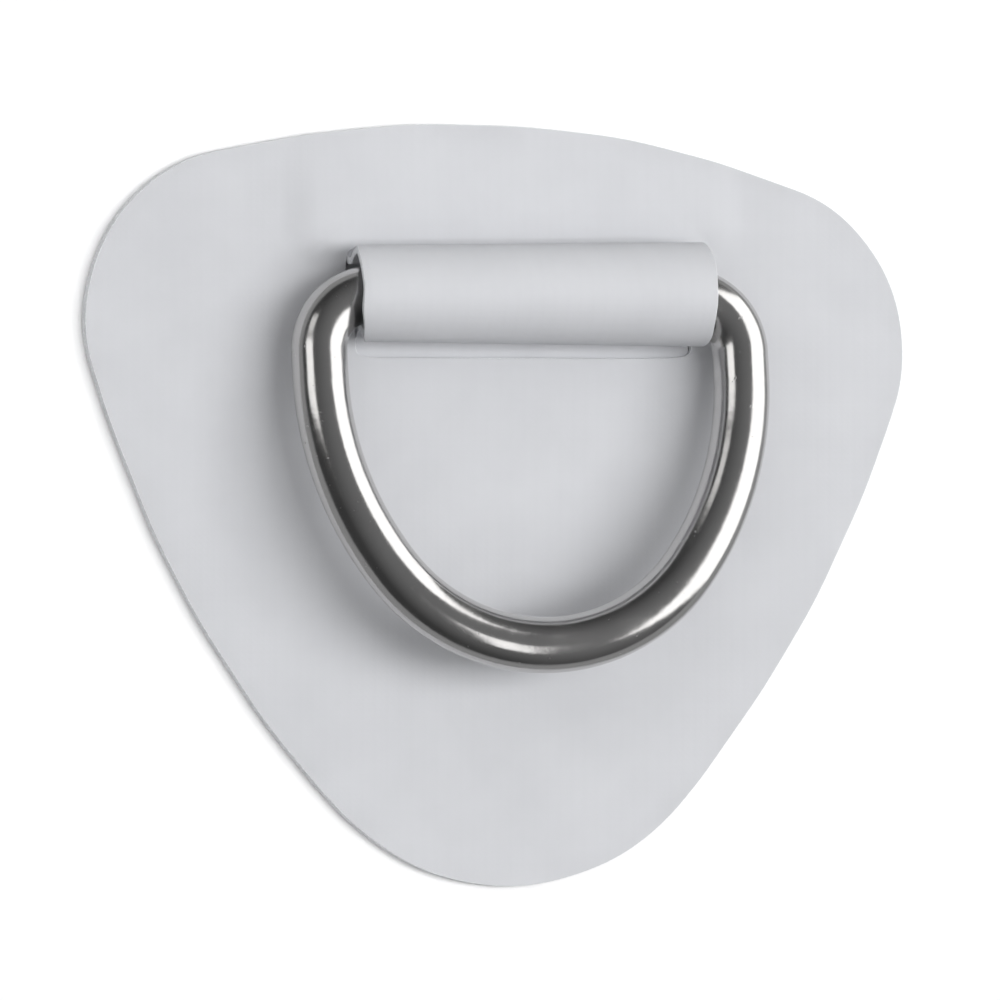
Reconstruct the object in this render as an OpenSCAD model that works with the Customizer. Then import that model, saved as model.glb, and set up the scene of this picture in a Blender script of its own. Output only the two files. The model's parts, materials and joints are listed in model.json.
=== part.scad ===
// D-ring patch for an inflatable boat: a glue-on pad eye.
// Two coated-fabric patches hold the tails of a strap, and the strap loops round a stainless D-ring.
// The part lies on its glue face: +X runs along the ring's straight bar, +Z points off the boat.
// The origin is on the glue face, at the middle of the patch's width and height.

/* [Patch] */
// Sideways distance from the middle to each upper corner's centre
corner_x = 36.6; // [30:0.1:45]
// Height of the left upper corner's centre above the bottom corner's centre
left_rise = 46.4; // [38:0.1:56]
// Height of the right upper corner's centre above the bottom corner's centre
right_rise = 42.3; // [38:0.1:56]
// Sideways place of the bottom corner's centre
bottom_x = 1.6; // [-4:0.1:4]
// Corner radius of both upper corners
upper_r = 24.4; // [18:0.1:28]
// Corner radius of the bottom corner
lower_r = 34.4; // [26:0.1:38]
// Radius of the two bulging lower sides
side_r = 159; // [120:1:400]
// Radius of the bulging top side
top_r = 150; // [120:1:400]
// Thickness of one ply of coated fabric
sheet_t = 0.9; // [0.6:0.1:1.2]

/* [Strap] */
// Sideways place of the strap's middle
strap_x = 2.5; // [-4:0.1:4]
// Place of the sleeve's axis above the middle of the patch
strap_y = 30.1; // [24:0.1:32]
// Thickness of the strap
strap_t = 1.0; // [0.8:0.1:1.4]
// Length of the sleeve along the ring's bar
sleeve_l = 52.3; // [46:0.1:53]
// Outer diameter of the sleeve
sleeve_d = 14.3; // [13:0.1:16]
// Bend radius, at mid thickness, where each leg of the strap turns out flat
foot_r = 2; // [1.2:0.1:2.4]
// Width of the two bonded tails
tail_w = 58; // [54:1:62]
// Distance from the sleeve's axis to the end of the upper tail
upper_tail_l = 18.5; // [14:0.5:19]
// Distance from the sleeve's axis to the end of the lower tail
lower_tail_l = 40; // [25:0.5:46]
// Distance from the sleeve's axis at which the strap widens into its tails
neck_l = 10; // [9.5:0.5:12]

/* [Window] */
// Distance from the sleeve's axis up to the window's upper edge
window_up = 7.4; // [7.2:0.1:8.5]
// Distance from the sleeve's axis down to the window's lower edge
window_down = 9.1; // [7.5:0.1:9.4]
// Gap between each end of the sleeve and the side of the window
window_gap = 0.6; // [0.3:0.1:1.5]

/* [Ring] */
// Diameter of the ring's wire
wire_d = 8; // [6:0.5:9]
// Clear width inside the ring, between its limbs
ring_inner_w = 54.7; // [54:0.1:58]
// Bend radius of the two upper corners, at the wire's centre line
bend_r = 8.5; // [6:0.1:9]
// Length of the straight stretch of each limb
limb_l = 3.1; // [0.5:0.1:6]
// Radius of the long curve below each limb, at the wire's centre line
flank_r = 46.8; // [40:0.1:80]
// Angle of the ring above the patch, as the part lies at rest
ring_raise = 9.5; // [0:0.5:20]
// Length of the weld in the middle of the straight bar
weld_l = 2.4; // [1.6:0.2:4]
// Height that the weld bead stands proud of the wire
weld_proud = 0.25; // [0.1:0.05:0.4]

/* [Hidden] */
$fn = 96;

arc_step = 2;                            // degrees between the points of an outline's arc
cut = 1;                                 // how far a cutter runs past the face it cuts
wire_r = wire_d / 2;
sleeve_ro = sleeve_d / 2;
sleeve_ri = sleeve_ro - strap_t;
sleeve_rm = sleeve_ro - strap_t / 2;
tail_z = sheet_t;                        // underside of the tails, on the base patch
cover_z = tail_z + strap_t;              // underside of the top patch where it lies on the tails

// --- patch outline: three corner circles joined by three arcs that touch them ---
bottom_c = [bottom_x, 0];
left_c = [-corner_x, left_rise];
right_c = [corner_x, right_rise];
corner_c = [left_c, bottom_c, right_c];
corner_r = [upper_r, lower_r, upper_r];
bulge_r = [side_r, side_r, top_r];

// Centre of the side arc that goes round circles a and b and touches both, on the left of a to b
function bulge_centre(a, ra, b, rb, r) =
    let (da = r - ra, db = r - rb, gap = norm(b - a), along = (b - a) / gap,
         s = (da * da - db * db + gap * gap) / (2 * gap))
    a + s * along + sqrt(da * da - s * s) * [-along[1], along[0]];

function heading(from, to) = atan2(to[1] - from[1], to[0] - from[0]);
function turn(from, to) = (to - from + 720) % 360;
// Points of an arc from angle a0 round to angle a1, without its last point
function arc(c, r, a0, a1) =
    let (n = ceil(turn(a0, a1) / arc_step))
    [for (i = [0 : n - 1]) let (a = a0 + turn(a0, a1) * i / n) c + r * [cos(a), sin(a)]];

bulge_c = [for (i = [0 : 2]) let (j = (i + 1) % 3)
    bulge_centre(corner_c[i], corner_r[i], corner_c[j], corner_r[j], bulge_r[i])];
// Lift that brings the middle of the outline's height to y = 0
outline_lift = -(bulge_c[2][1] + top_r - lower_r) / 2;
outline = [for (i = [0 : 2]) let (before = bulge_c[(i + 2) % 3], after = bulge_c[i],
                                  c = corner_c[i], next = corner_c[(i + 1) % 3])
    each concat(arc(c, corner_r[i], heading(before, c), heading(after, c)),
                arc(after, bulge_r[i], heading(after, c), heading(after, next)))];

module outline_2d() {
    translate([0, outline_lift]) polygon(outline);
}

// A 3-4-5 slope: arcs that meet on a line of this slope have round-number centres and end faces
slope = [0.8, 0.6];
far = 4;                                 // length of a wedge's arms, in radii of what it cuts

// The sector of a disc of radius r between two directions less than half a turn apart
module wedge_2d(r, a, b) {
    polygon([[0, 0], far * r * a, far * r * (a + b), far * r * b]);
}

// --- strap: a sleeve open at the bottom, two feet that bend back the other way, two flat tails ---
foot_reach = sleeve_rm + foot_r;                 // from the sleeve's axis to a foot's bend centre
foot_y = slope[0] * foot_reach;
foot_z = tail_z + strap_t / 2 + foot_r;          // height of the feet's bend centres
axis_h = foot_z + slope[1] * foot_reach;         // height of the sleeve's axis above the glue face

// Everything that hangs on the sleeve's axis is drawn with that axis along X at the origin
module at_axis() {
    translate([strap_x, strap_y, axis_h]) children();
}

module band_2d(r) {
    difference() {
        circle(r + strap_t / 2);
        circle(r - strap_t / 2);
    }
}

// The strap's section across the sleeve, with the sleeve's axis at the origin
module sleeve_section() {
    difference() {
        band_2d(sleeve_rm);
        wedge_2d(sleeve_rm, [-slope[0], -slope[1]], [slope[0], -slope[1]]);
    }
    for (side = [0, 1]) mirror([side, 0, 0])
        translate([foot_y, foot_z - axis_h]) difference() {
            band_2d(foot_r);
            // keep the arc from the sleeve round to the underside
            translate([0, -far * foot_r]) square(2 * far * foot_r);
            wedge_2d(foot_r, [-slope[0], slope[1]], [0, 1]);
        }
}

module sleeve_and_feet() {
    at_axis() rotate([90, 0, 90]) linear_extrude(sleeve_l, center = true) sleeve_section();
}

// One tail as a flat plate, grown sideways where it is the cover over the tail:
// a narrow neck that starts at the foot, then the full width
module tail_plate(side, length, grow, t) {
    neck_w = sleeve_l + 2 * grow;
    full_w = tail_w + 2 * grow;
    translate([strap_x, strap_y, tail_z]) mirror([0, side > 0 ? 0 : 1, 0]) {
        translate([-neck_w / 2, foot_y, 0]) cube([neck_w, neck_l - foot_y, t]);
        translate([-full_w / 2, neck_l - grow, 0]) cube([full_w, length - neck_l + 2 * grow, t]);
    }
}

module both_tails(grow, t) {
    tail_plate(1, upper_tail_l, grow, t);
    tail_plate(-1, lower_tail_l, grow, t);
}

// --- ring: drawn flat, with the bar along X at the origin and the bow towards -Y ---
ring_half_w = ring_inner_w / 2 + wire_r;
flank_c = [ring_half_w - flank_r, -bend_r - limb_l];
flank_to_bow = (flank_r - ring_half_w) / slope[0];   // between the centres of the flank and the bow
bow_r = flank_r - flank_to_bow;
bow_y = flank_c[1] - slope[1] * flank_to_bow;
bar_half_l = ring_half_w - bend_r;

// The stretch of a hoop of wire between two directions
module wire_arc(r, a, b) {
    intersection() {
        rotate_extrude() translate([r, 0]) circle(wire_r);
        linear_extrude(4 * wire_r, center = true) wedge_2d(r, a, b);
    }
}

module ring_side() {
    // half of the straight bar, from the weld to the bend
    translate([weld_l / 2, 0, 0]) rotate([0, 90, 0]) cylinder(r = wire_r, h = bar_half_l - weld_l / 2);
    translate([bar_half_l, -bend_r, 0]) wire_arc(bend_r, [1, 0], [0, 1]);
    translate([ring_half_w, -bend_r - limb_l, 0]) rotate([-90, 0, 0]) cylinder(r = wire_r, h = limb_l);
    translate(flank_c) wire_arc(flank_r, [slope[0], -slope[1]], [1, 0]);
}

module ring_pose() {
    at_axis() rotate([-ring_raise, 0, 0]) children();
}

// --- the pieces ---
module base_patch() {
    color([0.78, 0.80, 0.82]) linear_extrude(sheet_t) outline_2d();
}

module top_patch() {
    window_w = sleeve_l + 2 * window_gap;
    color([0.82, 0.83, 0.85]) difference() {
        union() {
            translate([0, 0, sheet_t]) linear_extrude(sheet_t) outline_2d();
            both_tails(sheet_t, strap_t + sheet_t);
        }
        both_tails(0, strap_t);
        translate([strap_x - window_w / 2, strap_y - window_down, tail_z - cut])
            cube([window_w, window_down + window_up, cover_z + sheet_t + 2 * cut]);
    }
}

module loop_strap() {
    color([0.85, 0.86, 0.88]) {
        sleeve_and_feet();
        both_tails(0, strap_t);
    }
}

module d_ring() {
    color([0.62, 0.62, 0.65]) ring_pose() {
        ring_side();
        mirror([1, 0, 0]) ring_side();
        translate([0, bow_y]) wire_arc(bow_r, [-slope[0], -slope[1]], [slope[0], -slope[1]]);
    }
}

module ring_weld() {
    bead_r = (pow(weld_l / 2, 2) + pow(weld_proud, 2)) / (2 * weld_proud);
    color([0.55, 0.53, 0.50]) ring_pose() rotate([0, 90, 0]) rotate_extrude() {
        translate([0, -weld_l / 2]) square([wire_r, weld_l]);
        intersection() {
            translate([wire_r + weld_proud - bead_r, 0]) circle(bead_r);
            translate([0, -weld_l / 2]) square([wire_r + weld_proud, weld_l]);
        }
    }
}

base_patch();
top_patch();
loop_strap();
d_ring();
ring_weld();
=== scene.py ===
# %% [markdown]
# # A D-ring patch for an inflatable boat
#
# The real object is glued to a boat's tube. Two plies of coated fabric hold the tails of a
# strap, the strap loops round the straight bar of a stainless steel ring, and a line or a
# snap hook goes on the ring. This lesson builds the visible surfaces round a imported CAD
# model, so each new piece takes its place from the frame that is loaded first.

# %% Load the frame
import json
import math

import bpy
import numpy as np
from mathutils import Matrix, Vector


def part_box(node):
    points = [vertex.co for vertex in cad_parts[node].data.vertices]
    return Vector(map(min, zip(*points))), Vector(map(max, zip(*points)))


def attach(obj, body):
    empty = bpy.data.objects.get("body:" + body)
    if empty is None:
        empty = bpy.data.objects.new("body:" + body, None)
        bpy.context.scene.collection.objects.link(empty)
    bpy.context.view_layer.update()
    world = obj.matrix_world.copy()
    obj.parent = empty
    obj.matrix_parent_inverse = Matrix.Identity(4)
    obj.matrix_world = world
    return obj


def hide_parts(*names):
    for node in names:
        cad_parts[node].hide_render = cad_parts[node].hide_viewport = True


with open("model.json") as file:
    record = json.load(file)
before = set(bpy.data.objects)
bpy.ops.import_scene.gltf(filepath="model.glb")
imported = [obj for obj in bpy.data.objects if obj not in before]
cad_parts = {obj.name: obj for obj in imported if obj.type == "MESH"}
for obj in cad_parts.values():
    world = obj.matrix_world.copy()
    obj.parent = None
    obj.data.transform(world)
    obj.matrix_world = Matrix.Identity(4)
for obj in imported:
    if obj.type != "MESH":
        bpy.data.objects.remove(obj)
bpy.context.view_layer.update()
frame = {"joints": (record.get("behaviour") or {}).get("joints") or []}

MM = 0.001                                # the lengths below are in millimetres

# %% [markdown]
# Lengths repeat the CAD source, and places are read off the CAD nodes. The ring's hinge lies
# on the axis of the sleeve, so the sleeve, the ring's bar and its weld all start from it.

# %% Places that the pieces share
patch_low, patch_high = (np.array(corner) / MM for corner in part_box("base_patch"))
bar_axis = np.array(frame["joints"][0]["pos_m"]) / MM
ply = patch_high[2] - patch_low[2]        # thickness of one ply of the patch
strap_low, strap_high = (np.array(corner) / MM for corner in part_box("loop_strap"))
ring_low, ring_high = (np.array(corner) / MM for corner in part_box("d_ring"))
print("bar axis, mm:", bar_axis.round(3), "ply:", round(ply, 3), "strap top:", strap_high[2].round(2))

# %% [markdown]
# ## One way to make every surface
#
# Cloth, wire and weld are all the same kind of thing to a mesh: a grid of points whose rows
# run along the piece and whose columns run round its section. Blender's own primitives and
# modifiers could give each of them, but a grid worked out with numpy is exact, keeps a
# cloth's true flat measure in its UV map, and closes its own seams.

# %% Grid to mesh
CELL = ((0, 0), (1, 0), (1, 1), (0, 1))   # the four corners of a cell, as steps in row and column


def grid_mesh(name, points, uv, end_caps=False, poles=None, edge_columns=(), wear=None):
    """A closed mesh from a grid of points in mm. Each cell of four neighbours is a face. A direction
    wraps where uv has one row or column more than points. end_caps joins the two halves of the first
    and last rows, and poles are two points that close the first and last columns with fans. Faces in
    edge_columns and end caps take the second material, and wear is a value from 0 to 1 at each point."""
    rows, columns = points.shape[:2]
    row, column = np.arange(uv.shape[0] - 1)[:, None], np.arange(uv.shape[1] - 1)[None, :]
    quads = np.stack([(row + i) % rows * columns + (column + j) % columns for i, j in CELL], -1)
    quads = quads.reshape(-1, 4)
    quad_uv = np.stack([uv[row + i, column + j] for i, j in CELL], -2).reshape(-1, 4, 2)
    is_edge = np.isin(np.broadcast_to(column, (len(row), column.size)), edge_columns).ravel()
    vertices = points.reshape(-1, 3)
    if end_caps:
        j = np.arange(columns // 2 - 1)
        cap = np.stack([columns - 1 - j, columns - 2 - j, j + 1, j], -1)
        last = cap[:, ::-1] + (rows - 1) * columns
        quads = np.concatenate([quads, cap, last])
        quad_uv = np.concatenate([quad_uv, uv[0][cap], uv[rows - 1][cap[:, ::-1]]])
        is_edge = np.concatenate([is_edge, np.ones(2 * len(cap), bool)])
    triangles, triangle_uv = np.empty((0, 3), int), np.empty((0, 3, 2))
    if poles is not None:
        i = np.arange(rows)
        first = np.stack([(i + 1) % rows * columns, i * columns, np.full(rows, len(vertices))], -1)
        last = np.stack([i * columns, (i + 1) % rows * columns, np.full(rows, 2)], -1) + columns - 1
        last[:, 2] = len(vertices) + 1
        triangles = np.concatenate([first, last])
        vertices = np.concatenate([vertices, poles])
        triangle_uv = vertices[triangles][:, :, :2] * MM
        is_edge = np.concatenate([is_edge, np.zeros(2 * rows, bool)])
    a, b, c, d = (vertices[quads[:, k]] for k in range(4))
    e, f, g = (vertices[triangles[:, k]] for k in range(3))
    # a . (b x c) is six times the volume of the tetrahedron from the origin to a face
    volume = (a * np.cross(b, c)).sum() + (a * np.cross(c, d)).sum() + (e * np.cross(f, g)).sum()
    if volume < 0:                        # the faces point inwards, so each is turned over
        quads, quad_uv = quads[:, ::-1], quad_uv[:, ::-1]
        triangles, triangle_uv = triangles[:, ::-1], triangle_uv[:, ::-1]
    mesh = bpy.data.meshes.new(name)
    mesh.from_pydata(vertices * MM, [], quads.tolist() + triangles.tolist())
    mesh.uv_layers.new(name="flat").data.foreach_set(
        "uv", np.concatenate([quad_uv.reshape(-1, 2), triangle_uv.reshape(-1, 2)]).ravel())
    mesh.polygons.foreach_set("use_smooth", np.ones(len(mesh.polygons), bool))
    mesh.polygons.foreach_set("material_index", is_edge.astype(np.int32))
    if wear is not None:
        values = np.concatenate([wear.ravel(), np.zeros(len(vertices) - wear.size)])
        mesh.attributes.new("wear", "FLOAT", "POINT").data.foreach_set("value", values.astype(np.float32))
    mesh.update()
    piece = bpy.data.objects.new(name, mesh)
    bpy.context.scene.collection.objects.link(piece)
    print(f"{name}: {len(vertices)} points, {2 * len(quads) + len(triangles)} triangles, "
          f"{abs(volume) / 6:.0f} mm3")
    return piece


def smooth_step(x):
    """0 up to x = 0, 1 from x = 1, and between them 3x^2 - 2x^3, which starts and ends level."""
    x = np.clip(x, 0, 1)
    return x * x * (3 - 2 * x)


# %% [markdown]
# ## The cut shape of the patch
#
# Both plies are punched to one guitar-pick outline: three round corners joined by three
# sides that bulge a little. Arcs that touch where they meet give a line without corners, and
# it is sampled at even steps so that the mesh has even faces. A cut edge is never quite true,
# so a few slow sine waves move it by a tenth or two of a millimetre.

# %% Outline of the patch
CORNERS = np.array([[-36.6, 46.4], [1.6, 0], [36.6, 42.3]])   # centres, from the left anticlockwise
CORNER_RADII = np.array([24.4, 34.4, 24.4])
SIDE_RADII = np.array([159, 159, 150])


def side_centre(a, radius_a, b, radius_b, radius):
    """Centre of the arc that goes round circles a and b and touches both: it is radius - radius_a from
    a's centre and radius - radius_b from b's."""
    reach_a, reach_b, gap = radius - radius_a, radius - radius_b, np.linalg.norm(b - a)
    along = (b - a) / gap
    s = (reach_a ** 2 - reach_b ** 2 + gap ** 2) / (2 * gap)
    return a + s * along + math.sqrt(reach_a ** 2 - s ** 2) * np.array([-along[1], along[0]])


def arc(centre, radius, start, end, count=240):
    """Points of an anticlockwise arc between the directions of two vectors, without its last point."""
    first = math.atan2(start[1], start[0])
    sweep = (math.atan2(end[1], end[0]) - first) % (2 * math.pi)
    angle = first + sweep * np.arange(count) / count
    return centre + radius * np.stack([np.cos(angle), np.sin(angle)], -1)


def even_steps(line, count):
    """count points at equal distances along a closed line, found by its running length."""
    closed = np.vstack([line, line[:1]])
    length = np.concatenate([[0], np.cumsum(np.linalg.norm(np.diff(closed, axis=0), axis=1))])
    at = np.arange(count) / count * length[-1]
    return np.stack([np.interp(at, length, closed[:, k]) for k in (0, 1)], -1)


side_centres = [side_centre(CORNERS[i], CORNER_RADII[i], CORNERS[(i + 1) % 3], CORNER_RADII[(i + 1) % 3],
                            SIDE_RADII[i]) for i in range(3)]
arcs = []
for i in range(3):
    corner, following = CORNERS[i], CORNERS[(i + 1) % 3]
    before, after = side_centres[i - 1], side_centres[i]
    arcs += [arc(corner, CORNER_RADII[i], corner - before, corner - after),
             arc(after, SIDE_RADII[i], corner - after, following - after)]
cut_line = np.concatenate(arcs)
cut_line += ((patch_low + patch_high)[:2] - (cut_line.min(0) + cut_line.max(0))) / 2


def hand_cut(line, phase, depth=0.1):
    """The line moved along its own normal, by the sum of sine waves with 5, 11 and 23 crests round it."""
    ahead = np.roll(line, -1, 0) - np.roll(line, 1, 0)
    outward = np.stack([ahead[:, 1], -ahead[:, 0]], -1) / np.linalg.norm(ahead, axis=1)[:, None]
    turn = 2 * math.pi * np.arange(len(line)) / len(line)
    move = (np.sin(5 * turn + phase) + 0.6 * np.sin(11 * turn + 2 * phase)
            + 0.4 * np.sin(23 * turn + 3 * phase))
    return line + outward * depth * move[:, None]


print("outline, mm:", (cut_line.max(0) - cut_line.min(0)).round(2))

# %% [markdown]
# ## The section of a ply
#
# A ply is a shell: out along its upper face, over the cut edge, and back along its lower
# face. Solidify would give it a thickness but square edges, so the section is written out
# with the small round that a blade and handling leave on the coating. Two extra points beside
# each round keep the faces next to it level, so the smooth shading stays on the round.

# %% Section across a ply
EDGE_ROUND = 0.09                         # radius of the round on a cut edge
CORNER_CUT = 0.29                         # 1 - cos 45 degrees: how far a round lies inside its corner


def ply_section(count, thickness, left_edge=True):
    """Share across, shift in mm and height (-1 to 1) of the points round a ply's section. The lower half
    repeats the upper half in reverse, so point j lies over point -1 - j."""
    across = np.linspace(0, 1, count)
    shift = EDGE_ROUND * (1 - 2 * across)
    height = np.ones(count)
    down = 2 * EDGE_ROUND / thickness
    bend = ((1, -EDGE_ROUND * CORNER_CUT, 1 - CORNER_CUT * down), (1, 0, 1 - down))
    support = ((1, -3 * EDGE_ROUND, 1), (1, -EDGE_ROUND, 1))
    upper = [*zip(across[:-1], shift[:-1], height[:-1]), *support, *bend]
    if left_edge:
        mirrored = [(0, -s, h) for _, s, h in reversed(support + bend)]
        upper = mirrored + upper[1:]
    upper = np.array(upper)
    lower = upper[::-1] * [1, 1, -1]
    return np.concatenate([upper, lower])


def cloth_points(start, end, section, surface, thickness):
    """Points of a shell of cloth. Every row runs from start to end in the flat cut, each point of the
    section lies at start + share * (end - start) + shift along the row, and surface carries it to
    its place and gives the cloth's normal there, along which half the thickness is added."""
    run = end - start
    along = run / np.linalg.norm(run, axis=1)[:, None]
    share, shift, height = section.T
    flat = start[:, None] + run[:, None] * share[:, None] + along[:, None] * shift[:, None]
    middle, normal = surface(flat)
    return middle + normal * (height * thickness / 2)[..., None], flat


def edge_faces(section, both_edges=True):
    """Columns of the five faces round the cut edge in the middle of a section, and of the five round
    its other edge, where the section starts and ends."""
    middle = len(section) // 2
    columns = [*range(middle - 3, middle + 2)]
    return columns + [column % len(section) for column in range(-3, 2)] if both_edges else columns


print("section of a ply:", len(ply_section(30, ply)), "points")

# %% [markdown]
# ## The base ply
#
# The lower ply is glued to the tube. It is flat, and only its cut edge, its glue face and the
# strip inside the window are ever seen. Its rows are spokes from the middle of the patch to
# the outline, and a fan closes the hub on each face.

# %% Make the base ply
SPOKES = 400                              # rows of each ply, at even steps round the outline
EDGE_WEAR = 4                             # width of the rubbed band along a ply's edge


def lie_flat(flat):
    """The base ply's middle surface: the plane at half its thickness, facing straight up."""
    middle = np.concatenate([flat, np.full((*flat.shape[:2], 1), ply / 2)], -1)
    return middle, np.broadcast_to([0.0, 0.0, 1.0], middle.shape)


base_edge = hand_cut(even_steps(cut_line, SPOKES), phase=0.4)
base_section = ply_section(16, ply, left_edge=False)[1:-1]
hub = np.broadcast_to((patch_low + patch_high)[:2] / 2, base_edge.shape)
base_points, base_flat = cloth_points(hub, base_edge, base_section, lie_flat, ply)
base_wear = 1 - smooth_step(np.linalg.norm(base_flat - base_edge[:, None], axis=-1) / EDGE_WEAR)
base_ply = grid_mesh(
    "base_ply", base_points, np.concatenate([base_flat, base_flat[:1]]) * MM,
    poles=[[*hub[0], ply], [*hub[0], 0]], edge_columns=edge_faces(base_section, both_edges=False),
    wear=base_wear)

# %% [markdown]
# ## The cover ply
#
# The upper ply lies on the base ply and over the strap's two tails, and a window in it lets
# the sleeve stand up. Pressed down over a tail it can't turn a sharp corner, so it comes down
# a gentle ramp beside it. That ramp is a function of the distance to the tails, so the faint
# step of each tail shows through as it does on the real patch.

# %% Height of the cover ply
STRAP = 1.0                               # thickness of the strap
SLEEVE_LENGTH = 52.3
TAIL_HALF = 29.0                          # half the width of the bonded tails
NECK = 10.0                               # distance from the axis at which the strap widens
TAIL_ENDS = (40.0, 18.5)                  # distances from the axis to the lower and upper ends
FOOT_BEND = 2.0                           # bend radius where a leg turns out flat
RAMP = 6.0                                # width of the slope beside a tail
SKIVE, SKIVED = 12.0, 0.35                # length of the taper in a tail, and the thickness it ends at
GLUE_WAVE = 0.02                          # height of the waves that the glue line leaves
SLOPE_Y, SLOPE_Z = 0.8, 0.6               # arcs of the strap and of the ring meet on a 3-4-5 slope
strap_x = (strap_low[0] + strap_high[0]) / 2
sleeve_radius = strap_high[2] - bar_axis[2] - STRAP / 2
foot_start = SLOPE_Y * (sleeve_radius + FOOT_BEND)


def strap_thickness(from_axis):
    """Full thickness up to the neck's end, and beyond it skived down smoothly to a thin tail."""
    return STRAP - (STRAP - SKIVED) * smooth_step((from_axis - NECK) / SKIVE)


def distance_to_box(x, y, centre_y, half_x, half_y):
    """Distance from a point to an upright box, zero inside it: the two overshoots make its legs."""
    return np.hypot(np.maximum(abs(x) - half_x, 0), np.maximum(abs(y - centre_y) - half_y, 0))


def distance_to_tails(flat):
    """Distance from each point to the nearest of the two necks and the two tails."""
    x, y = flat[..., 0] - strap_x, flat[..., 1] - bar_axis[1]
    near = []
    for side, tail_end in zip((-1, 1), TAIL_ENDS):
        for start, end, half in ((foot_start, NECK, SLEEVE_LENGTH / 2), (NECK, tail_end, TAIL_HALF)):
            near.append(distance_to_box(x, y, side * (start + end) / 2, half, (end - start) / 2))
    return np.minimum.reduce(near)


def cover_height(flat):
    """Middle of the cover ply: on the base ply, one strap higher over a tail, and a smooth ramp between.
    Two slow waves add the few hundredths of a millimetre that the glue line leaves."""
    x, y = flat[..., 0], flat[..., 1]
    glue = GLUE_WAVE * (2 + np.sin(x / 5.3 + 0.7 * np.sin(y / 7.9))
                        + np.sin(y / 6.1 + 1.3 + 0.5 * np.sin(x / 8.7)))
    lift = strap_thickness(abs(y - bar_axis[1])) * (1 - smooth_step(distance_to_tails(flat) / RAMP))
    return 1.5 * ply + lift + glue


def lie_on_tails(flat):
    """The cover ply's middle surface, with its normal from the slope of the height in x and in y."""
    step = 0.2
    slope = [(cover_height(flat + move) - cover_height(flat - move)) / (2 * step)
             for move in (np.array([step, 0]), np.array([0, step]))]
    normal = np.stack([-slope[0], -slope[1], np.ones(slope[0].shape)], -1)
    middle = np.concatenate([flat, cover_height(flat)[..., None]], -1)
    return middle, normal / np.linalg.norm(normal, axis=-1, keepdims=True)


# %% [markdown]
# The cover ply has two edges, so its rows run from the window to the outline. The window is a
# superellipse, whose high power makes it a rectangle with small round corners at one stroke.
# Its left side is drawn in to follow the left end of the strap, which was cut askew.

# %% Make the cover ply
WINDOW_HALF = 26.3                        # half its width
WINDOW_UP, WINDOW_DOWN = 6.9, 9.1         # from the axis to its upper and lower edges
SQUARENESS = 18                           # power of the superellipse
LEFT_IN, LEFT_LOWER_IN = 1.2, 1.3         # how far the left side stands in, and how much more below
LOWER_START, LOWER_REACH = 3, 7           # where "below" starts above the axis, and how far it takes
COVER_SHORT = 0.03                        # how much the cover ply falls short of the base ply

window_centre = np.array([strap_x, bar_axis[1] + (WINDOW_UP - WINDOW_DOWN) / 2])
spoke = (base_edge - window_centre) / np.linalg.norm(base_edge - window_centre, axis=1)[:, None]
cover_edge = base_edge - COVER_SHORT * spoke
share = abs(spoke / (WINDOW_HALF, (WINDOW_UP + WINDOW_DOWN) / 2)) ** SQUARENESS
window_edge = window_centre + spoke / share.sum(1)[:, None] ** (1 / SQUARENESS)
lower = smooth_step((bar_axis[1] + LOWER_START - window_edge[:, 1]) / LOWER_REACH)
left = np.minimum(window_edge[:, 0] - strap_x, 0) / WINDOW_HALF
window_edge[:, 0] -= left * (LEFT_IN + LEFT_LOWER_IN * lower)

# %% Lay it on the tails
cover_section = ply_section(84, ply)
cover_points, cover_flat = cloth_points(window_edge, cover_edge, cover_section, lie_on_tails, ply)
to_edge = np.minimum(np.linalg.norm(cover_flat - cover_edge[:, None], axis=-1),
                     np.linalg.norm(cover_flat - window_edge[:, None], axis=-1) * 2)
cover_uv = np.concatenate([cover_flat, cover_flat[:, :1]], 1)
cover_ply = grid_mesh(
    "cover_ply", cover_points, np.concatenate([cover_uv, cover_uv[:1]]) * MM,
    edge_columns=edge_faces(cover_section), wear=1 - smooth_step(to_edge / EDGE_WEAR))

# %% [markdown]
# ## The strap
#
# One strip of the same cloth makes the sleeve, two feet and two tails. The sleeve is a tube
# that is open below, its legs turn out through two tight bends, and the tails lie flat under
# the cover ply. The tube is a little wider at its right end, and its left end was cut
# askew, so both are functions of the place along the bar. A strip could also be bent with a
# Curve modifier, but arcs keep the strip's true length and its exact bends.

# %% Strap surface
LEG_ANGLE = math.pi - math.atan2(SLOPE_Y, SLOPE_Z)    # from the sleeve's top round to each foot bend
BEND_START = math.pi - math.atan2(SLOPE_Z, SLOPE_Y)   # where a foot's bend starts, from its own centre
FLARE = 0.3                                           # how far the radius grows or shrinks at an end
foot_z = ply + STRAP / 2 + FOOT_BEND


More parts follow.
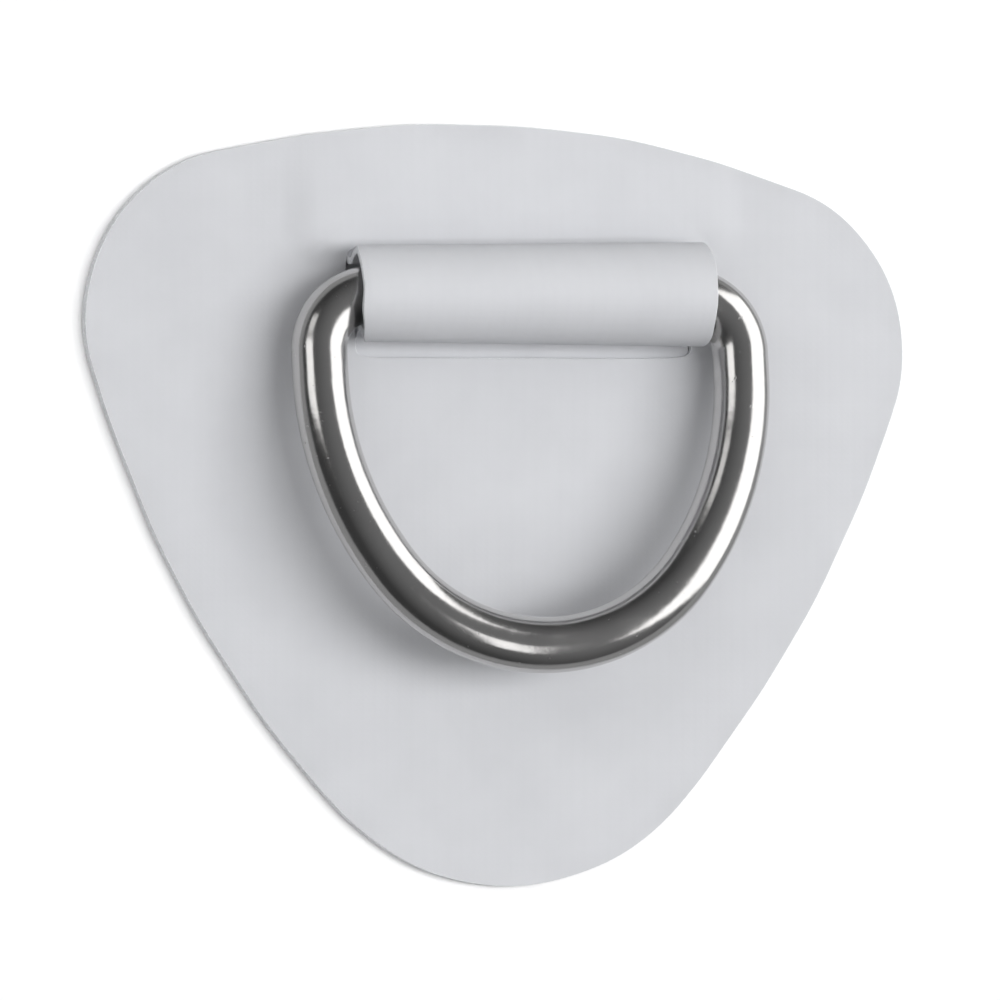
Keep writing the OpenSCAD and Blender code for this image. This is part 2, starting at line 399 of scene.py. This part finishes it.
def strap_surface(flat):
    """Middle surface of the strap at (x, phase). The phase counts from the sleeve's top: up to 1 it goes
    round the tube of radius r, from 1 to 2 round the foot's bend the other way, and from 2 to 3
    along the flat tail. The foot's centre is r + bend from the axis down a 3-4-5 slope."""
    x, phase = flat[..., 0], flat[..., 1]
    side, turn = np.sign(phase), abs(phase)
    radius = sleeve_radius + FLARE * np.clip(x / (SLEEVE_LENGTH / 2), -1.1, 1.1)
    bend_y, axis_z = SLOPE_Y * (radius + FOOT_BEND), foot_z + SLOPE_Z * (radius + FOOT_BEND)
    round_tube = LEG_ANGLE * np.clip(turn, 0, 1)
    round_bend = BEND_START + LEG_ANGLE * np.clip(turn - 1, 0, 1)
    out = bend_y + (turn - 2) * (np.where(side < 0, *TAIL_ENDS) - bend_y)
    part = [turn <= 1, turn <= 2]
    sin_tube, cos_tube = np.sin(round_tube), np.cos(round_tube)
    sin_bend, cos_bend = np.sin(round_bend), np.cos(round_bend)
    y = np.select(part, [radius * sin_tube, bend_y + FOOT_BEND * cos_bend], out)
    z = np.select(part, [axis_z + radius * cos_tube, foot_z + FOOT_BEND * sin_bend],
                  ply + strap_thickness(out) / 2)
    normal_y = np.select(part, [sin_tube, -cos_bend], 0)
    normal_z = np.select(part, [cos_tube, -sin_bend], 1)
    middle = np.stack([strap_x + x, bar_axis[1] + side * y, z], -1)
    return middle, np.stack([np.zeros(x.shape), side * normal_y, normal_z], -1)


def cloth_length(phase):
    """Distance along the strip from the sleeve's top to a phase, at the tube's mean radius."""
    turn, side = abs(phase), np.sign(phase)
    tail = np.where(side < 0, *TAIL_ENDS) - foot_start
    arcs = LEG_ANGLE * (sleeve_radius * np.clip(turn, 0, 1) + FOOT_BEND * np.clip(turn - 1, 0, 1))
    return side * (arcs + tail * np.clip(turn - 2, 0, 1))


# %% [markdown]
# The two long edges of the strip are lines of their own. They widen from the neck into the
# tails, they waver by about a tenth of a millimetre, and the left one is cut back further
# the lower it comes round the sleeve.

# %% Edges of the strip
SKEW, SKEW_END = 1.9, 0.9                 # size of the askew cut, and the phase where it stops growing
FOOT_CUT, FOOT_CUT_REACH = 0.35, 0.5      # phase where the upper leg's cut starts, and how far it takes
WIDEN_BEFORE, WIDEN_REACH = 0.4, 1.8      # where the strip widens, before the neck's end, and how fast

lower_phases = -np.concatenate([np.linspace(3, 2.02, 30), np.linspace(2, 1, 18)])
upper_phases = np.concatenate([np.linspace(1, 2, 18), np.linspace(2.02, 3, 16)])
phases = np.concatenate([lower_phases[:-1], np.linspace(-1, 1, 72), upper_phases[1:]])
middle_line = np.stack([np.zeros(len(phases)), phases], -1)
from_axis = abs(strap_surface(middle_line)[0][:, 1] - bar_axis[1])
widen = smooth_step((from_axis - NECK + WIDEN_BEFORE) / WIDEN_REACH) * (abs(phases) > 1.5)
half_width = SLEEVE_LENGTH / 2 + (TAIL_HALF - SLEEVE_LENGTH / 2) * widen
ripple = 0.07 * np.sin(phases * 7.3) + 0.05 * np.sin(phases * 17.1 + 1)
askew = SKEW * (1 - np.cos(np.clip(-phases, 0, SKEW_END) * LEG_ANGLE))
foot_cut = LEFT_IN * smooth_step((phases - FOOT_CUT) / FOOT_CUT_REACH)
left_edge = np.stack([-half_width + (askew + foot_cut) * (1 - widen) + ripple, phases], -1)
right_edge = np.stack([half_width + 0.8 * ripple[::-1], phases], -1)
print("left end cut back by up to", round(float((askew + foot_cut).max()), 2), "mm")

# %% Make the strap
SLEEVE_WEAR = 2.5                         # width of the rubbed band along the strip's edges
strap_section = ply_section(64, STRAP)
thickness = strap_thickness(from_axis)[:, None]
strap_points, strap_flat = cloth_points(left_edge, right_edge, strap_section, strap_surface, thickness)
strap_uv = np.stack([strap_flat[..., 0], cloth_length(strap_flat[..., 1])], -1)
to_edge = np.minimum(strap_flat[..., 0] - left_edge[:, None, 0], right_edge[:, None, 0] - strap_flat[..., 0])
strap = grid_mesh(
    "ring_strap", strap_points, np.concatenate([strap_uv, strap_uv[:, :1]], 1) * MM, end_caps=True,
    edge_columns=edge_faces(strap_section), wear=1 - smooth_step(to_edge / SLEEVE_WEAR))
lower_end, upper_end = cloth_length(np.array([-3.0, 3.0]))
print("strip of cloth, mm:", round(float(upper_end - lower_end), 1))

# %% [markdown]
# ## The ring
#
# The ring is a round bar bent in one plane: a straight, two corners, and a bow of three
# arcs that touch. A wire like this could be a bevelled Bezier curve, but then the bends would
# only be near to the CAD's. Here the centre line is a chain of straights and arcs, and
# a circle is carried along it square to its direction.

# %% Centre line of the ring
WIRE = 4.0                                # radius of the wire
HALF_RING = 27.35 + WIRE                  # from the middle to a limb's centre line
CORNER_BEND, LIMB, FLANK = 8.5, 3.1, 46.8 # radius of a corner, length of a limb, radius of a flank
BOW = FLANK - (FLANK - HALF_RING) / SLOPE_Y       # radius of the bow, which meets the flanks on the slope
FLANK_TURN = math.atan2(SLOPE_Z, SLOPE_Y)
QUARTER = math.pi / 2
RAISE = math.radians(9.5)                 # angle of the ring above the patch at rest
WIRE_STEP = 0.5                           # distance between rows of points along the wire


def travel(distance, heading, bend):
    """Where a path gets to after a distance: straight on if its bend is nought, and otherwise round a
    circle's arc, the integral of a direction that changes evenly."""
    if not bend:
        return distance[:, None] * [math.cos(heading), math.sin(heading)]
    angle = heading + bend * distance
    return np.stack([np.sin(angle) - math.sin(heading), math.cos(heading) - np.cos(angle)], -1) / bend


def bent_wire(chain):
    """Points and directions along a chain of (length, turn), each piece starting where the last ends."""
    place, heading, points, headings = np.zeros(2), 0.0, [], []
    for length, turn in chain:
        count, bend = max(4, round(length / WIRE_STEP)), turn / length
        distance = np.arange(count) / count * length
        points.append(place + travel(distance, heading, bend))
        headings.append(heading + bend * distance)
        place = place + travel(np.array([length]), heading, bend)[0]
        heading += turn
    print("the ring closes to within", round(float(np.linalg.norm(place)), 4), "mm")
    return np.concatenate(points), np.concatenate(headings)


half = [(HALF_RING - CORNER_BEND, 0.0), (CORNER_BEND * QUARTER, -QUARTER), (LIMB, 0.0),
        (FLANK * FLANK_TURN, -FLANK_TURN), (BOW * (QUARTER - FLANK_TURN), FLANK_TURN - QUARTER)]
centre_line, heading = bent_wire(half + half[::-1])

# %% Carry the wire's section along it
AROUND = 64                               # points round the wire


def wire_surface(centre_line, heading, radius, around):
    """A circle carried along a flat line: centre + radius * (cos a * side + sin a * up), where side is
    square to the direction in the ring's plane. Then the ring is turned up about its bar."""
    a = 2 * math.pi * np.arange(around) / around
    side = np.stack([-np.sin(heading), np.cos(heading), np.zeros(len(heading))], -1)
    centre = np.concatenate([centre_line, np.zeros((len(centre_line), 1))], -1)
    points = centre[:, None] + radius * (np.cos(a)[:, None] * side[:, None] + np.sin(a)[:, None] * [0, 0, 1])
    return raise_ring(points)


def raise_ring(points):
    """Ring-plane points turned about X by the rest angle, with the usual cosines and sines of a turn,
    and moved to the hinge."""
    x, y, z = points[..., 0], points[..., 1], points[..., 2]
    cos, sin = math.cos(RAISE), math.sin(RAISE)
    return np.stack([x, y * cos + z * sin, z * cos - y * sin], -1) + bar_axis


closed_line = np.vstack([centre_line, centre_line[:1]])
wire_length = np.concatenate([[0], np.cumsum(np.linalg.norm(np.diff(closed_line, axis=0), axis=1))])
round_wire = 2 * math.pi * WIRE * np.arange(AROUND + 1) / AROUND
wire_uv = np.stack(np.meshgrid(wire_length, round_wire, indexing="ij"), -1) * MM
steel_ring = grid_mesh("steel_ring", wire_surface(centre_line, heading, WIRE, AROUND), wire_uv)
print("wire length, mm:", wire_length[-1].round(1), "ring box, mm:", ring_low.round(2), ring_high.round(2))

# %% [markdown]
# ## The weld
#
# The bar's ends meet in a butt weld that the sleeve hides. The bead is a low ring with the
# ripples of the welder's steps, made as a lens-shaped section carried round the bar: its height
# is 1 - x^2 across, times a sine wave round the bar that lags towards the sides.

# %% Make the weld bead
BEAD_HALF, BEAD_PROUD, RIPPLES = 1.2, 0.25, 26    # half length, height and number of ripples
BEAD_AROUND, BEAD_ACROSS = 156, 13                # points round the bead and across its crown
RIPPLE_SHARE, RIPPLE_LAG = 0.16, 2.2              # depth as a share of the height, and the sides' lag
BEAD_SUNK = 0.04                                  # how far its inner side lies below the wire's surface

bead_turn = 2 * math.pi * np.arange(BEAD_AROUND) / BEAD_AROUND
bead_across = np.linspace(-1, 1, BEAD_ACROSS)
ripples = np.sin(RIPPLES * bead_turn[:, None] + RIPPLE_LAG * bead_across ** 2)
crown = BEAD_PROUD * (1 - bead_across ** 2) * (1 - RIPPLE_SHARE + RIPPLE_SHARE * ripples)
inner_side = np.full((BEAD_AROUND, BEAD_ACROSS - 2), WIRE - BEAD_SUNK)
bead_radius = np.concatenate([WIRE + crown, inner_side], 1)
bead_x = np.concatenate([bead_across, bead_across[-2:0:-1]]) * BEAD_HALF
bead_points = np.stack([np.broadcast_to(bead_x, bead_radius.shape), bead_radius * np.cos(bead_turn)[:, None],
                        bead_radius * np.sin(bead_turn)[:, None]], -1)
bead_uv = np.stack(np.meshgrid(np.append(bead_turn, 2 * math.pi) * WIRE, np.append(bead_x, bead_x[0]),
                               indexing="ij"), -1) * MM
weld_bead = grid_mesh("weld_bead", raise_ring(bead_points), bead_uv)

# %% [markdown]
# ## Finishes
#
# A finish is a small tree of nodes. The helpers below make a material and its nodes in few
# words. Whatever varies over the surface comes through a link, and whatever is the same all
# over is set on the shader itself.

# %% Material helpers
def new_finish(name, **constants):
    """A material with a Principled shader whose even values are set straight on its sockets."""
    material = bpy.data.materials.new(name)
    material.use_nodes = True
    tree = material.node_tree
    shader = tree.nodes["Principled BSDF"]
    for socket, value in constants.items():
        shader.inputs[socket.replace("_", " ")].default_value = value
    return material, tree, shader


def add(tree, kind, inputs=None, **settings):
    """One node, with its settings, and its inputs given as values or as sockets to link from."""
    node = tree.nodes.new("ShaderNode" + kind)
    for key, value in settings.items():
        setattr(node, key, value)
    for key, value in (inputs or {}).items():
        if isinstance(value, bpy.types.NodeSocket):
            tree.links.new(value, node.inputs[key])
        else:
            node.inputs[key].default_value = value
    return node


def mix(tree, factor, a, b):
    """a and b mixed as colours by factor."""
    node = tree.nodes.new("ShaderNodeMix")
    node.data_type = "RGBA"
    for index, value in ((0, factor), (6, a), (7, b)):
        if isinstance(value, bpy.types.NodeSocket):
            tree.links.new(value, node.inputs[index])
        else:
            node.inputs[index].default_value = value
    return node.outputs[2]


def spread(tree, value, low, high, to_low, to_high):
    """value carried from the range low..high to the range to_low..to_high, and held inside it."""
    return add(tree, "MapRange", {"Value": value, "From Min": low, "From Max": high,
                                  "To Min": to_low, "To Max": to_high}).outputs["Result"]


def total(tree, first, second, share):
    """first + share * second, as one height."""
    return add(tree, "Math", {0: second, 1: share, 2: first}, operation="MULTIPLY_ADD").outputs[0]


def noise(tree, place, scale, detail=2, roughness=0.5):
    """Cloudy noise from 0 to 1, about one cloud to every 1 / scale of the units that place is in."""
    return add(tree, "TexNoise", {"Vector": place, "Scale": scale, "Detail": detail,
                                  "Roughness": roughness}).outputs["Fac"]


def bumps(tree, shader, height, distance):
    """The shader's normal tilted by a height from 0 to 1 that stands for a distance in metres."""
    node = add(tree, "Bump", {"Height": height, "Strength": 1.0, "Distance": distance})
    tree.links.new(node.outputs["Normal"], shader.inputs["Normal"])


def millimetres(tree, uv):
    """The piece's own coordinates in mm: its flat cut where uv is true, and otherwise its place."""
    place = add(tree, "TexCoord").outputs["UV" if uv else "Object"]
    return add(tree, "Mapping", {"Vector": place, "Scale": (1000, 1000, 1000)}).outputs["Vector"]


# %% [markdown]
# ### Coated fabric
#
# The cloth is a polyester weave between two coats of grey vinyl. The coat hides the threads
# but not their relief: faint warp ribs over a finer weave. On top come a satin grain, slow
# mottling of the colour and the gloss, a few rubbed streaks, and a little grime and polish
# near the edges, which follow the wear value that each ply carries. The relief is a few
# thousandths of a millimetre, so it is left to the bump and isn't built into the mesh.

# %% Threads and ribs
WEAVE, RIBS = 0.92, 1.85                  # distance between threads, and between ribs
CLOTH_RELIEF = 0.004 * MM                 # height of the weave through the coat, in metres


def wave(tree, place, pitch, direction):
    """Height from 0 to 1 of ribs at a pitch in mm. One band of the texture is pi / 10 long at scale 1."""
    return add(tree, "TexWave", {"Vector": place, "Scale": math.pi / 10 / pitch, "Distortion": 0.25,
                                 "Detail": 2, "Detail Scale": 2}, wave_type="BANDS",
               bands_direction=direction).outputs["Fac"]


# %% Coated fabric
GRIME = (0.30, 0.30, 0.29, 1)


def coated_fabric(name, light, dark, uv=False):
    """A vinyl-coated cloth: weave and grain in the bump, mottling and streaks in colour and gloss, and a
    little painted shade in the grooves between the ribs.
    """
    material, tree, shader = new_finish(name, Specular_IOR_Level=0.42, IOR=1.5)
    place = millimetres(tree, uv)
    weave = add(tree, "Math", {0: wave(tree, place, WEAVE, "X"), 1: wave(tree, place, WEAVE, "Y")},
                operation="MAXIMUM").outputs[0]
    ribs = wave(tree, place, RIBS, "X")
    grain = noise(tree, place, 3.2, detail=3, roughness=0.6)
    mottle = noise(tree, place, 0.09, detail=4, roughness=0.55)
    stretch = add(tree, "Mapping", {"Vector": place, "Rotation": (0, 0, 0.5), "Scale": (0.05, 1.1, 1)})
    streaks = spread(tree, noise(tree, stretch.outputs["Vector"], 1.0), 0.66, 0.74, 0, 1)
    wear = add(tree, "Attribute", attribute_name="wear").outputs["Fac"]
    grimy = add(tree, "Math", {0: wear, 1: spread(tree, mottle, 0.35, 0.7, 0.25, 1)},
                operation="MULTIPLY").outputs[0]
    colour = mix(tree, spread(tree, mottle, 0.3, 0.7, 0, 1), light, dark)
    # painted shade: the grooves between the ribs are darkened a little in colour
    painted_shade_between_ribs = (*(0.8 * channel for channel in dark[:3]), 1)
    colour = mix(tree, spread(tree, ribs, 0, 1, 0.02, 0), colour, painted_shade_between_ribs)
    colour = mix(tree, spread(tree, grimy, 0, 1, 0, 0.07), colour, GRIME)
    tree.links.new(colour, shader.inputs["Base Color"])
    gloss = total(tree, spread(tree, mottle, 0.3, 0.7, 0.44, 0.56), grain, 0.10)
    gloss = total(tree, gloss, streaks, 0.10)
    tree.links.new(total(tree, gloss, wear, -0.06), shader.inputs["Roughness"])
    relief = total(tree, total(tree, weave, ribs, 0.7), grain, 0.8)
    bumps(tree, shader, total(tree, relief, streaks, -0.4), CLOTH_RELIEF)
    return material


patch_cloth = coated_fabric("grey coated fabric", light=(0.585, 0.592, 0.615, 1),
                            dark=(0.56, 0.567, 0.59, 1))
strap_cloth = coated_fabric("grey strap fabric", light=(0.595, 0.602, 0.625, 1),
                            dark=(0.57, 0.577, 0.60, 1), uv=True)
print("cloth finishes:", patch_cloth.name, "and", strap_cloth.name)

# %% [markdown]
# A cut edge shows what the coat hides: the ends of the white polyester threads, lighter and
# rougher than the vinyl, with a fleck of white where a filament stands out.

# %% Cut edge
def cut_edge(name):
    """The edge of the cloth: thread ends as cells about half a millimetre across."""
    material, tree, shader = new_finish(name, Specular_IOR_Level=0.3, IOR=1.5)
    place = millimetres(tree, uv=False)
    threads = add(tree, "TexVoronoi", {"Vector": place, "Scale": 1.9, "Randomness": 0.8}).outputs["Distance"]
    fuzz = noise(tree, place, 6, detail=4)
    colour = mix(tree, spread(tree, threads, 0.15, 0.5, 0, 1), (0.84, 0.85, 0.87, 1), (0.72, 0.73, 0.75, 1))
    colour = mix(tree, spread(tree, fuzz, 0.58, 0.7, 0, 0.8), colour, (0.90, 0.90, 0.90, 1))
    tree.links.new(colour, shader.inputs["Base Color"])
    tree.links.new(spread(tree, fuzz, 0.3, 0.7, 0.7, 0.95), shader.inputs["Roughness"])
    bumps(tree, shader, total(tree, fuzz, threads, -0.8), 0.015 * MM)
    return material


edge_cloth = cut_edge("cut edge of the fabric")
print("edge finish:", edge_cloth.name)

# %% [markdown]
# ### Polished steel
#
# The ring is buffed stainless steel. Buffing leaves hairlines that run with the wire, so
# the noise is stretched along the UV map's length. A few dull spots break the mirror where a
# hook has rubbed it.

# %% Polished steel
def polished_steel(name):
    """Bright steel: roughness from fine hairlines and slow smears, and a bump too small to see as shape."""
    material, tree, shader = new_finish(name, Metallic=1.0, Base_Color=(0.57, 0.56, 0.55, 1))
    place = millimetres(tree, uv=True)
    drawn = add(tree, "Mapping", {"Vector": place, "Scale": (0.12, 6.0, 1)}).outputs["Vector"]
    hairlines = noise(tree, drawn, 1.6, detail=5, roughness=0.65)
    metal = millimetres(tree, uv=False)
    smears = noise(tree, metal, 0.22, detail=3)
    pits = spread(tree, noise(tree, metal, 1.4, detail=1), 0.72, 0.8, 0, 1)
    shine = total(tree, spread(tree, smears, 0.35, 0.7, 0.11, 0.18), hairlines, 0.06)
    tree.links.new(total(tree, shine, pits, 0.15), shader.inputs["Roughness"])
    relief = total(tree, total(tree, smears, hairlines, 0.06), pits, -0.1)
    bumps(tree, shader, relief, 0.05 * MM)
    return material


steel = polished_steel("polished stainless steel")
print("steel finish:", steel.name)

# %% [markdown]
# ### Weld metal
#
# Heat leaves straw and blue on the bead and its flanks. The colour goes by the distance from
# the middle of the bead, which its UV map holds.

# %% Weld metal
STRAW, BROWN, BLUE = (0.56, 0.50, 0.38, 1), (0.42, 0.30, 0.20, 1), (0.26, 0.29, 0.38, 1)


def weld_metal(name):
    """Rough steel coloured by heat: straw at the crown, brown and blue towards the sides."""
    material, tree, shader = new_finish(name, Metallic=1.0)
    place = millimetres(tree, uv=True)
    across = add(tree, "SeparateXYZ", {"Vector": place}).outputs["Y"]
    away = add(tree, "Math", {0: across}, operation="ABSOLUTE").outputs[0]
    blotch = noise(tree, place, 1.1, detail=4)
    reach = total(tree, away, blotch, 0.5)
    colour = mix(tree, spread(tree, reach, 0.3, 0.9, 0, 1), STRAW, BROWN)
    colour = mix(tree, spread(tree, reach, 0.9, 1.5, 0, 1), colour, BLUE)
    tree.links.new(colour, shader.inputs["Base Color"])
    tree.links.new(spread(tree, blotch, 0.3, 0.7, 0.28, 0.5), shader.inputs["Roughness"])
    bumps(tree, shader, blotch, 0.06 * MM)
    return material


weld = weld_metal("heat tinted weld")
print("weld finish:", weld.name)

# %% [markdown]
# ## Give each piece its finish and its body, and hide its CAD node
#
# The cloth pieces move with the patch, and the steel pieces move with the ring. Each new
# piece stands for one CAD node, which is hidden and stays in the model for its collisions.

for piece, finishes, body, node, slot in (
        (base_ply, (patch_cloth, edge_cloth), "patch", "base_patch", "base_fabric"),
        (cover_ply, (patch_cloth, edge_cloth), "patch", "top_patch", "patch_fabric"),
        (strap, (strap_cloth, edge_cloth), "patch", "loop_strap", "strap_fabric"),
        (steel_ring, (steel,), "ring", "d_ring", "polished_ring"),
        (weld_bead, (weld,), "ring", "ring_weld", "weld_metal")):
    for finish in finishes:
        piece.data.materials.append(finish)
    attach(piece, body)
    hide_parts(node)

print("pieces:", [piece.name for piece in (base_ply, cover_ply, strap, steel_ring, weld_bead)])

# %% [markdown]
# ## Floor, light and camera
#
# The patch lies on a pale floor. Cloth and polished steel want different light, so each has its
# own, as a studio does with flags. A key panel at the upper right throws the ring's soft shadow
# to the left, and two weaker panels fill it. None of the three shows in the steel. Steel shows
# its surroundings more than itself: it has a dim room with a broad light to the right and
# smaller ones to the left and below, which give each limb two bright lines with a dark one
# between them.

# %% Pale floor
FLOOR, FLOOR_DROP = 6.0, 0.05 * MM        # half its side and its depth below the glue face, in metres
floor_corners = [(x * FLOOR, y * FLOOR, -FLOOR_DROP) for x, y in ((-1, -1), (1, -1), (1, 1), (-1, 1))]
floor_mesh = bpy.data.meshes.new("floor")
floor_mesh.from_pydata(floor_corners, [], [(0, 1, 2, 3)])
floor = bpy.data.objects.new("floor", floor_mesh)
bpy.context.scene.collection.objects.link(floor)
paper, paper_tree, paper_shader = new_finish("pale paper", Specular_IOR_Level=0.1, Roughness=0.9)
paper_place = add(paper_tree, "TexCoord").outputs["Object"]
paper_colour = mix(paper_tree, noise(paper_tree, paper_place, 300, detail=3),
                   (0.93, 0.93, 0.93, 1), (0.96, 0.96, 0.96, 1))
paper_tree.links.new(paper_colour, paper_shader.inputs["Base Color"])
floor.data.materials.append(paper)
floor.visible_glossy = False              # the steel shows the room's dim lower half instead
print("floor side, m:", 2 * FLOOR)


# %% Soft lights
def softbox(name, toward, size, radiance, distance=2.4, mirrored=True, lights_cloth=True):
    """A rectangular light that faces the object from a direction. Its power is radiance * pi * area.
    One that isn't mirrored stays out of the steel, as behind a flag, and one can be for the steel only."""
    toward = np.array(toward) / np.linalg.norm(toward)
    light = bpy.data.lights.new(name, "AREA")
    light.shape, light.size, light.size_y = "RECTANGLE", *size
    light.energy = radiance * math.pi * size[0] * size[1]
    lamp = bpy.data.objects.new(name, light)
    side = np.cross([0, 1, 0], toward)
    side /= np.linalg.norm(side)
    axes = np.stack([side, np.cross(toward, side), toward], 1)
    lamp.matrix_world = Matrix([[*axes[k], toward[k] * distance] for k in range(3)] + [[0, 0, 0, 1]])
    lamp.visible_camera = False
    lamp.visible_glossy = mirrored
    lamp.visible_diffuse = lights_cloth
    bpy.context.scene.collection.objects.link(lamp)
    print(f"{name}: {light.energy:.1f} W")


# for the steel only
softbox("right softbox", (0.88, 0.18, 0.44), (2.8, 3.2), 1.75, lights_cloth=False)
softbox("left strip", (-0.82, 0.25, 0.50), (1.15, 0.8), 1.5, lights_cloth=False)
softbox("left back strip", (-0.75, 0.62, 0.42), (0.9, 0.7), 0.9, lights_cloth=False)
softbox("lower strip", (0.14, -0.37, 0.92), (0.5, 1.2), 1.5, lights_cloth=False)
# for the cloth only
softbox("key panel", (0.38, 0.03, 0.92), (1.25, 0.40), 8.1, distance=1.3, mirrored=False)
softbox("fill panel", (-0.4, 0.05, 0.9), (2.6, 2.6), 0.68, distance=1.5, mirrored=False)
softbox("back fill", (0.1, 0.80, 0.60), (2.4, 1.4), 0.40, distance=1.6, mirrored=False)

# %% [markdown]
# The room is a gradient of grey, brightest towards the upper right. Below the horizon it is a
# middle grey, which the lower sides of the ring show.

# %% Dim room
DARK_SIDE, BRIGHT_SIDE, BELOW = 0.06, 0.22, 0.30   # strength of the room's light
world = bpy.data.worlds.new("dim room")
bpy.context.scene.world = world
world.use_nodes = True
room = world.node_tree
direction = add(room, "TexCoord").outputs["Generated"]
toward_top = add(room, "VectorMath", {0: direction, 1: (0.5, 0, 0.87)}, operation="DOT_PRODUCT")
glow = spread(room, toward_top.outputs["Value"], 0.1, 1.0, DARK_SIDE, BRIGHT_SIDE)
height = add(room, "SeparateXYZ", {"Vector": direction}).outputs["Z"]
glow = total(room, glow, spread(room, height, -0.05, 0.05, 1, 0), BELOW)
room.nodes["Background"].inputs["Color"].default_value = (0.97, 0.98, 1.0, 1)
room.links.new(glow, room.nodes["Background"].inputs["Strength"])
bpy.context.scene.view_settings.view_transform = "Standard"
print("world:", world.name)

# %% [markdown]
# A long lens from three metres away keeps the patch nearly free of perspective.

# %% Camera
YAW = math.radians(17)                    # the view comes from the left of the patch's normal
DISTANCE, VIEW_WIDTH = 3.0, 142.86        # metres, and mm across the view at the object
AIM = np.array([0.96, 0.74, 0.29]) * MM   # the point that the camera looks at
SENSOR = 36                               # width of the sensor in mm
camera = bpy.data.objects.new("camera", bpy.data.cameras.new("camera"))
camera.data.sensor_width = SENSOR
camera.data.lens = SENSOR * DISTANCE / (VIEW_WIDTH * MM)
camera.data.clip_end = 50
camera.location = AIM + DISTANCE * np.array([-math.sin(YAW), 0, math.cos(YAW)])
camera.rotation_euler = (0, -YAW, 0)
bpy.context.scene.collection.objects.link(camera)
bpy.context.scene.camera = camera
print("lens, mm:", round(camera.data.lens, 1))

# %% [markdown]
# ## Finish
#
# The view layer is brought up to date. The visible model may not grow past the CAD
# model.

# %% Finish
bpy.context.view_layer.update()
